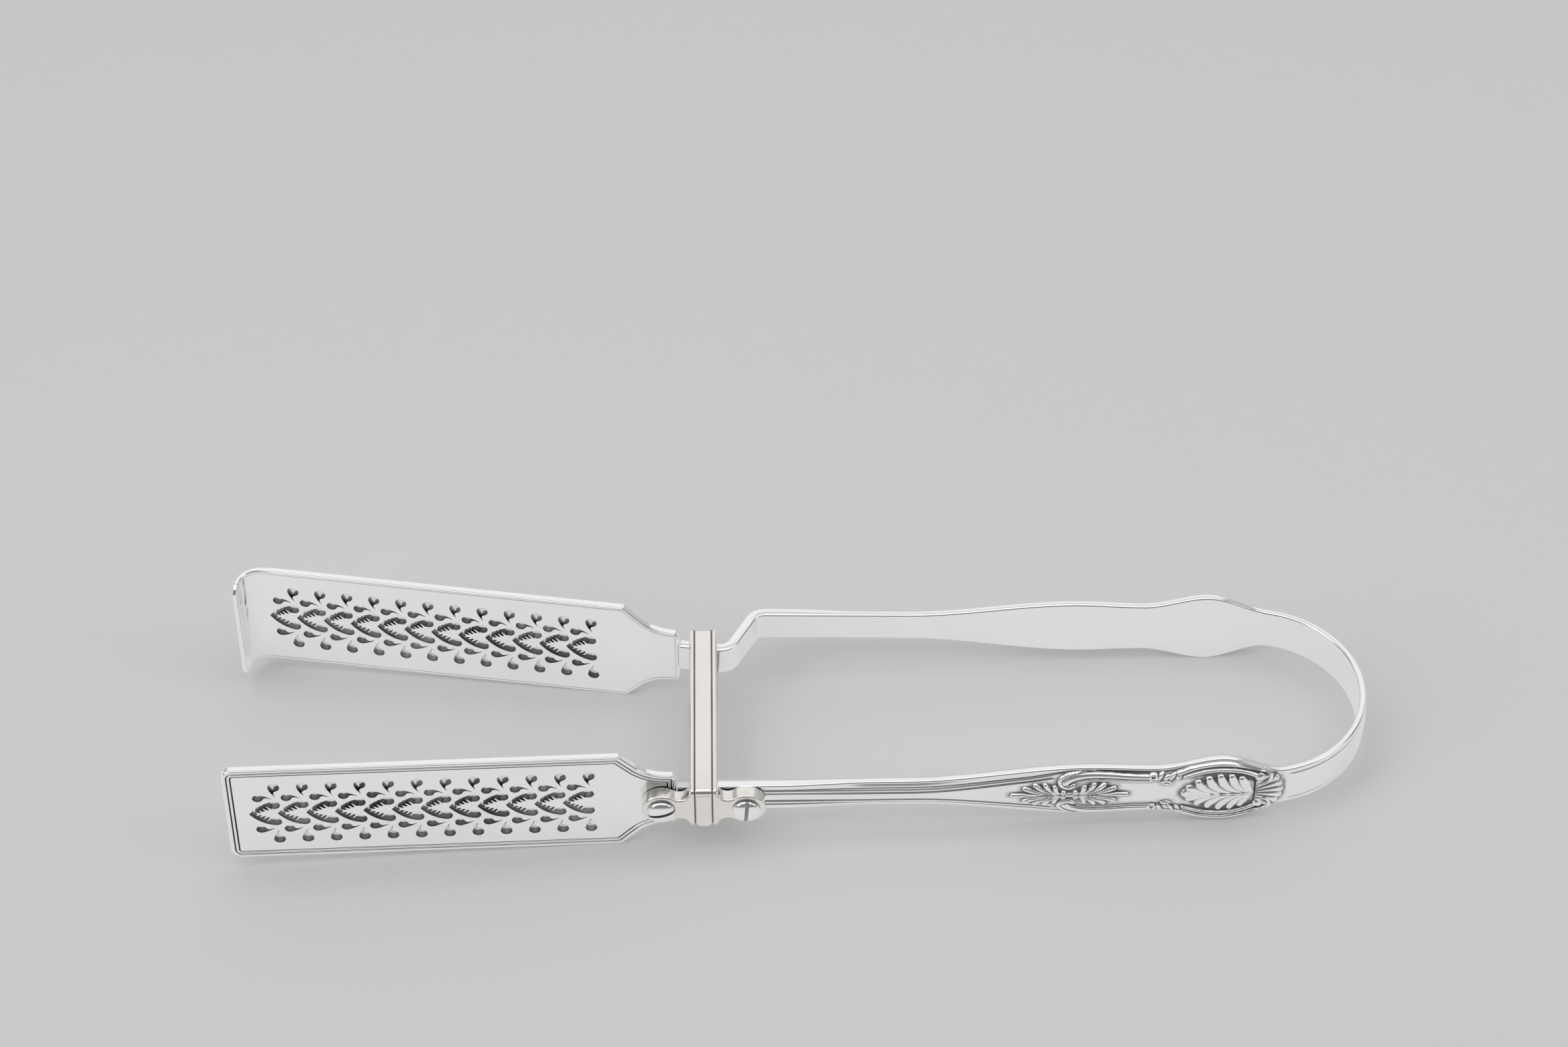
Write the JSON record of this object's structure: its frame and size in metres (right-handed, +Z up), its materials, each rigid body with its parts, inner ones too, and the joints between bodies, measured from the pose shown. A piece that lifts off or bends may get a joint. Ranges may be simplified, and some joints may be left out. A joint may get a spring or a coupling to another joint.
{
  "type": "asparagus tongs",
  "caption": "Silver asparagus serving tongs: pierced blades on ornate handles joined by a sprung bow, with a screwed guide loop round the necks and a turned-in lip on the rear blade.",
  "frame": {"origin": "on the surface that the tongs lie on, under the middle of their box, with the tongs lying on their long edges", "axes": "+X from the blade tips to the bow, +Y from the front arm to the cranked rear arm, +Z up"},
  "size_m": [0.2496, 0.0608, 0.0314],
  "materials": {
    "bow_silver": "polished silver strip with fine handling scratches",
    "handle_silver": "polished silver, darker in the recesses of the relief",
    "blade_silver": "polished silver plate with pierced holes",
    "guide_silver": "polished silver, slightly warmer and softer than the arms",
    "screw_silver": "turned and polished silver"
  },
  "bodies": {
    "front_arm": {"front_handle": "handle_silver", "front_blade": "blade_silver", "guide_loop": "guide_silver", "guide_screw_tip_side": "screw_silver", "guide_screw_bow_side": "screw_silver", "spring_bow": "bow_silver"},
    "rear_arm": {"rear_handle": "handle_silver", "rear_blade": "blade_silver"}
  },
  "joints": [
    {"name": "squeeze", "type": "hinge", "parent": "front_arm", "child": "rear_arm", "pos_m": [0.11539, 0.0009, 0.00886], "axis": [0.0349, 0, 0.9994], "range_deg": [0, 12], "stiffness_Nm_per_rad": 2, "springref_deg": -3.44, "deforming": ["spring_bow"]}
  ]
}
